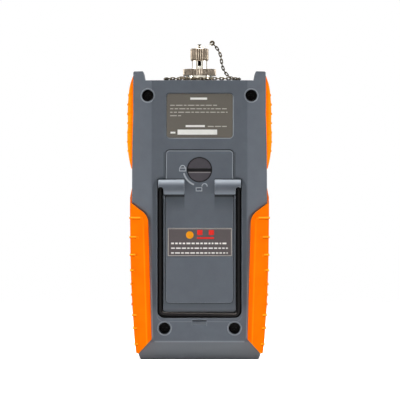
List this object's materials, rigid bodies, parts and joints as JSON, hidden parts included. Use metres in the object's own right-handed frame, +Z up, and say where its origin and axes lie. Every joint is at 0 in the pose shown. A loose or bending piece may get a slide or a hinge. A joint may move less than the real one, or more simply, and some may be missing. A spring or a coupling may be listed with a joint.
{
  "type": "optical power meter",
  "caption": "Handheld fibre power meter standing on end: grey housing with orange grips, wire stand on the battery door, capped port with a retaining chain on top.",
  "frame": {"origin": "centre of the flat lower end that the meter stands on", "axes": "+Z up towards the port, +Y from the back with its battery door towards the front with its keys, +X to the right as seen from the back"},
  "size_m": [0.0888, 0.0375, 0.1945],
  "materials": {
    "housing_grey": "fine matt moulded",
    "grip_orange": "satin soft moulded",
    "plate_brown": "matt foil",
    "plate_dark": "matt foil",
    "lock_brown": "matt moulded",
    "bail_black": "satin black coat",
    "nickel": "nickel plate",
    "bright_nickel": "polished nickel plate",
    "screw_steel": "dark zinc",
    "cell_wrap": "printed sleeve",
    "spring_steel": "plated strip",
    "board_green": "solder mask",
    "display_grey": "reflective display",
    "window_clear": "clear hard coat",
    "key_rubber": "matt",
    "mat_rubber": "matt",
    "zirconia": "ground"
  },
  "bodies": {
    "meter": {"rear_shell": "housing_grey", "front_shell": "housing_grey", "lower_grip_left": "grip_orange", "lower_grip_right": "grip_orange", "upper_bumper_left": "grip_orange", "upper_bumper_right": "grip_orange", "housing_screws": "screw_steel", "upper_plate": "plate_brown", "battery_cells": "cell_wrap", "cell_contacts": "spring_steel", "main_board": "board_green", "board_screws": "screw_steel", "display_module": "display_grey", "display_window": "window_clear", "key_mat": "mat_rubber", "charge_socket": "spring_steel", "chain_anchor": "nickel", "port_base": "bright_nickel", "adapter_ring": "nickel", "port_barrel": "bright_nickel", "ferrule_sleeve": "zirconia", "photodiode": "spring_steel", "port_nut": "nickel", "retaining_chain": "nickel"},
    "door": {"battery_door": "housing_grey", "lower_plate": "plate_dark"},
    "lock": {"door_lock": "lock_brown", "lock_cam": "spring_steel", "cam_screw": "screw_steel"},
    "bail": {"tilt_bail": "bail_black"},
    "strap": {"cap_strap": "bright_nickel", "jump_ring": "nickel"},
    "cap": {"dust_cap": "nickel"},
    "key_unit": {"key_unit": "key_rubber"},
    "key_wave": {"key_wave": "key_rubber"},
    "key_store": {"key_store": "key_rubber"},
    "key_power": {"key_power": "key_rubber"},
    "key_zero": {"key_zero": "key_rubber"},
    "key_light": {"key_light": "key_rubber"}
  },
  "joints": [
    {"name": "door_lift", "type": "slide", "parent": "meter", "child": "door", "axis": [0, -1, 0], "range_m": [0, 0.012]},
    {"name": "bail_swing", "type": "hinge", "parent": "door", "child": "bail", "pos_m": [0, -0.015, 0.10465], "axis": [-1, 0, 0], "range_deg": [0, 60]},
    {"name": "lock_turn", "type": "hinge", "parent": "door", "child": "lock", "pos_m": [0, -0.0165, 0.1152], "axis": [0, -1, 0], "range_deg": [0, 90]},
    {"name": "cap_lift", "type": "slide", "parent": "meter", "child": "strap", "axis": [0, 0, 1], "range_m": [0, 0.00525], "deforming": ["retaining_chain"]},
    {"name": "cap_turn", "type": "hinge", "parent": "strap", "child": "cap", "pos_m": [0, 0, 0.1846], "axis": [0, 0, 1], "range_deg": [0, 2520]},
    {"name": "press_unit", "type": "slide", "parent": "meter", "child": "key_unit", "axis": [0, -1, 0], "range_m": [0, 0.001], "stiffness_N_per_m": 900},
    {"name": "press_wave", "type": "slide", "parent": "meter", "child": "key_wave", "axis": [0, -1, 0], "range_m": [0, 0.001], "stiffness_N_per_m": 900},
    {"name": "press_store", "type": "slide", "parent": "meter", "child": "key_store", "axis": [0, -1, 0], "range_m": [0, 0.001], "stiffness_N_per_m": 900},
    {"name": "press_power", "type": "slide", "parent": "meter", "child": "key_power", "axis": [0, -1, 0], "range_m": [0, 0.001], "stiffness_N_per_m": 900},
    {"name": "press_zero", "type": "slide", "parent": "meter", "child": "key_zero", "axis": [0, -1, 0], "range_m": [0, 0.001], "stiffness_N_per_m": 900},
    {"name": "press_light", "type": "slide", "parent": "meter", "child": "key_light", "axis": [0, -1, 0], "range_m": [0, 0.001], "stiffness_N_per_m": 900}
  ],
  "couplings": [
    {"joint": "cap_turn", "follows": "cap_lift", "rad_per_m": 8377.6}
  ]
}
